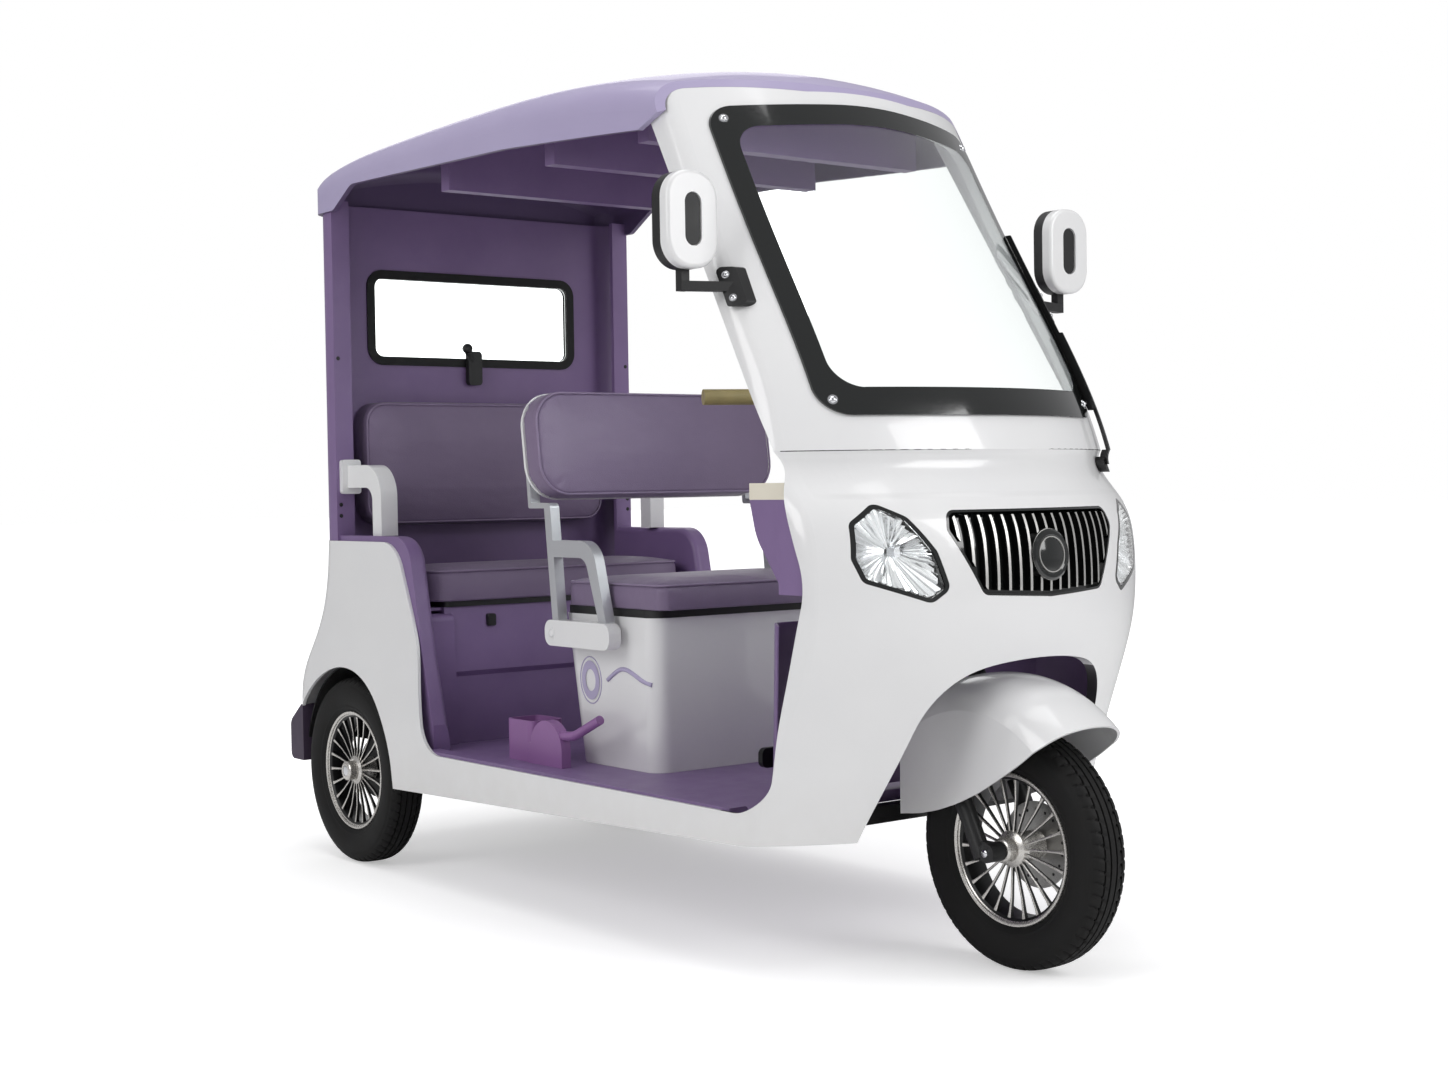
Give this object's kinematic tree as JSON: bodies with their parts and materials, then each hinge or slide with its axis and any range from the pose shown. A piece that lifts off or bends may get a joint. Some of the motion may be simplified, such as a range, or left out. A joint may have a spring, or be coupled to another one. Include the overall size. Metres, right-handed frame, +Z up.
{
  "type": "electric passenger auto rickshaw",
  "caption": "Open-sided passenger tricycle with a bowed nose, raked windscreen, crowned roof, driver's seat and rear bench; steering, wheels and seat lids move.",
  "frame": {"origin": "on the ground at the centre of the vehicle's length and width", "axes": "+X forward, +Y to the vehicle's left, +Z up"},
  "size_m": [2.59, 1.228, 1.9648],
  "materials": {
    "white_shell": "gloss",
    "lilac_shell": "satin",
    "purple_plastic": "satin",
    "mauve_leather": "grained",
    "black_plastic": "matte",
    "black_gloss": "gloss",
    "black_rubber": "matte",
    "clear_glass": "clear",
    "red_lens": "gloss",
    "chrome_trim": "polished",
    "wheel_metal": "machined",
    "tyre": "matte",
    "silver_paint": "satin",
    "black_steel": "satin",
    "cream_plastic": "satin",
    "tan_rubber": "satin",
    "mirror_face": "polished"
  },
  "bodies": {
    "body": {"chassis_frame": "black_steel", "floor_pan": "purple_plastic", "side_panel_right": "white_shell", "side_panel_left": "white_shell", "front_fascia": "white_shell", "rear_panel": "white_shell", "windshield_frame": "white_shell", "windshield_glass": "clear_glass", "windshield_border": "black_gloss", "roof": "lilac_shell", "roof_rails": "purple_plastic", "rear_wall": "purple_plastic", "rear_window_seal": "black_rubber", "rear_window_glass": "clear_glass", "rear_window_latch": "black_plastic", "side_liners": "purple_plastic", "wheel_wells": "black_plastic", "mudflaps": "purple_plastic", "headlamp_housings": "black_gloss", "headlamp_lenses": "clear_glass", "grille": "black_gloss", "grille_bars": "chrome_trim", "tail_lamps": "red_lens", "rear_bench": "purple_plastic", "rear_backrest": "mauve_leather", "rear_armrests": "white_shell", "seat_box": "white_shell", "battery_pack": "black_plastic", "driver_backrest": "mauve_leather", "backrest_shell": "white_shell", "seat_brackets": "white_shell", "seat_stays": "silver_paint", "dash_pods": "purple_plastic", "dash_tops": "cream_plastic", "parking_brake": "purple_plastic", "brake_pedal": "black_rubber", "mirror_shells": "white_shell", "mirror_arms": "black_plastic", "mirror_glasses": "mirror_face", "wiper": "black_plastic", "rear_axle": "black_steel", "leaf_springs": "black_steel"},
    "driver_seat_lid": {"driver_seat_board": "black_plastic", "driver_seat_cushion": "mauve_leather"},
    "rear_seat_lid": {"rear_seat_board": "black_plastic", "rear_seat_cushion": "mauve_leather"},
    "steering": {"fork": "black_steel", "front_mudguard": "white_shell", "handlebar": "black_steel", "handlebar_grips": "tan_rubber"},
    "front_wheel": {"front_tyre": "tyre", "front_rim": "wheel_metal"},
    "rear_wheel_right": {"rear_tyre_right": "tyre", "rear_rim_right": "wheel_metal"},
    "rear_wheel_left": {"rear_tyre_left": "tyre", "rear_rim_left": "wheel_metal"}
  },
  "joints": [
    {"name": "steering", "type": "hinge", "parent": "body", "child": "steering", "pos_m": [0.97455, 0, 0.2475], "axis": [-0.454, 0, 0.891], "range_deg": [-25, 25]},
    {"name": "front_wheel_spin", "type": "hinge", "parent": "steering", "child": "front_wheel", "pos_m": [1.0475, 0, 0.2475], "axis": [0, 1, 0], "continuous": true},
    {"name": "rear_wheel_right_spin", "type": "hinge", "parent": "body", "child": "rear_wheel_right", "pos_m": [-0.9425, -0.446, 0.2475], "axis": [0, 1, 0], "continuous": true},
    {"name": "rear_wheel_left_spin", "type": "hinge", "parent": "body", "child": "rear_wheel_left", "pos_m": [-0.9425, 0.446, 0.2475], "axis": [0, 1, 0], "continuous": true},
    {"name": "driver_seat_hinge", "type": "hinge", "parent": "body", "child": "driver_seat_lid", "pos_m": [-0.1775, 0, 0.6943], "axis": [0, -1, 0], "range_deg": [0, 65]},
    {"name": "rear_seat_hinge", "type": "hinge", "parent": "body", "child": "rear_seat_lid", "pos_m": [-0.9225, 0, 0.6903], "axis": [0, -1, 0], "range_deg": [0, 60]}
  ]
}
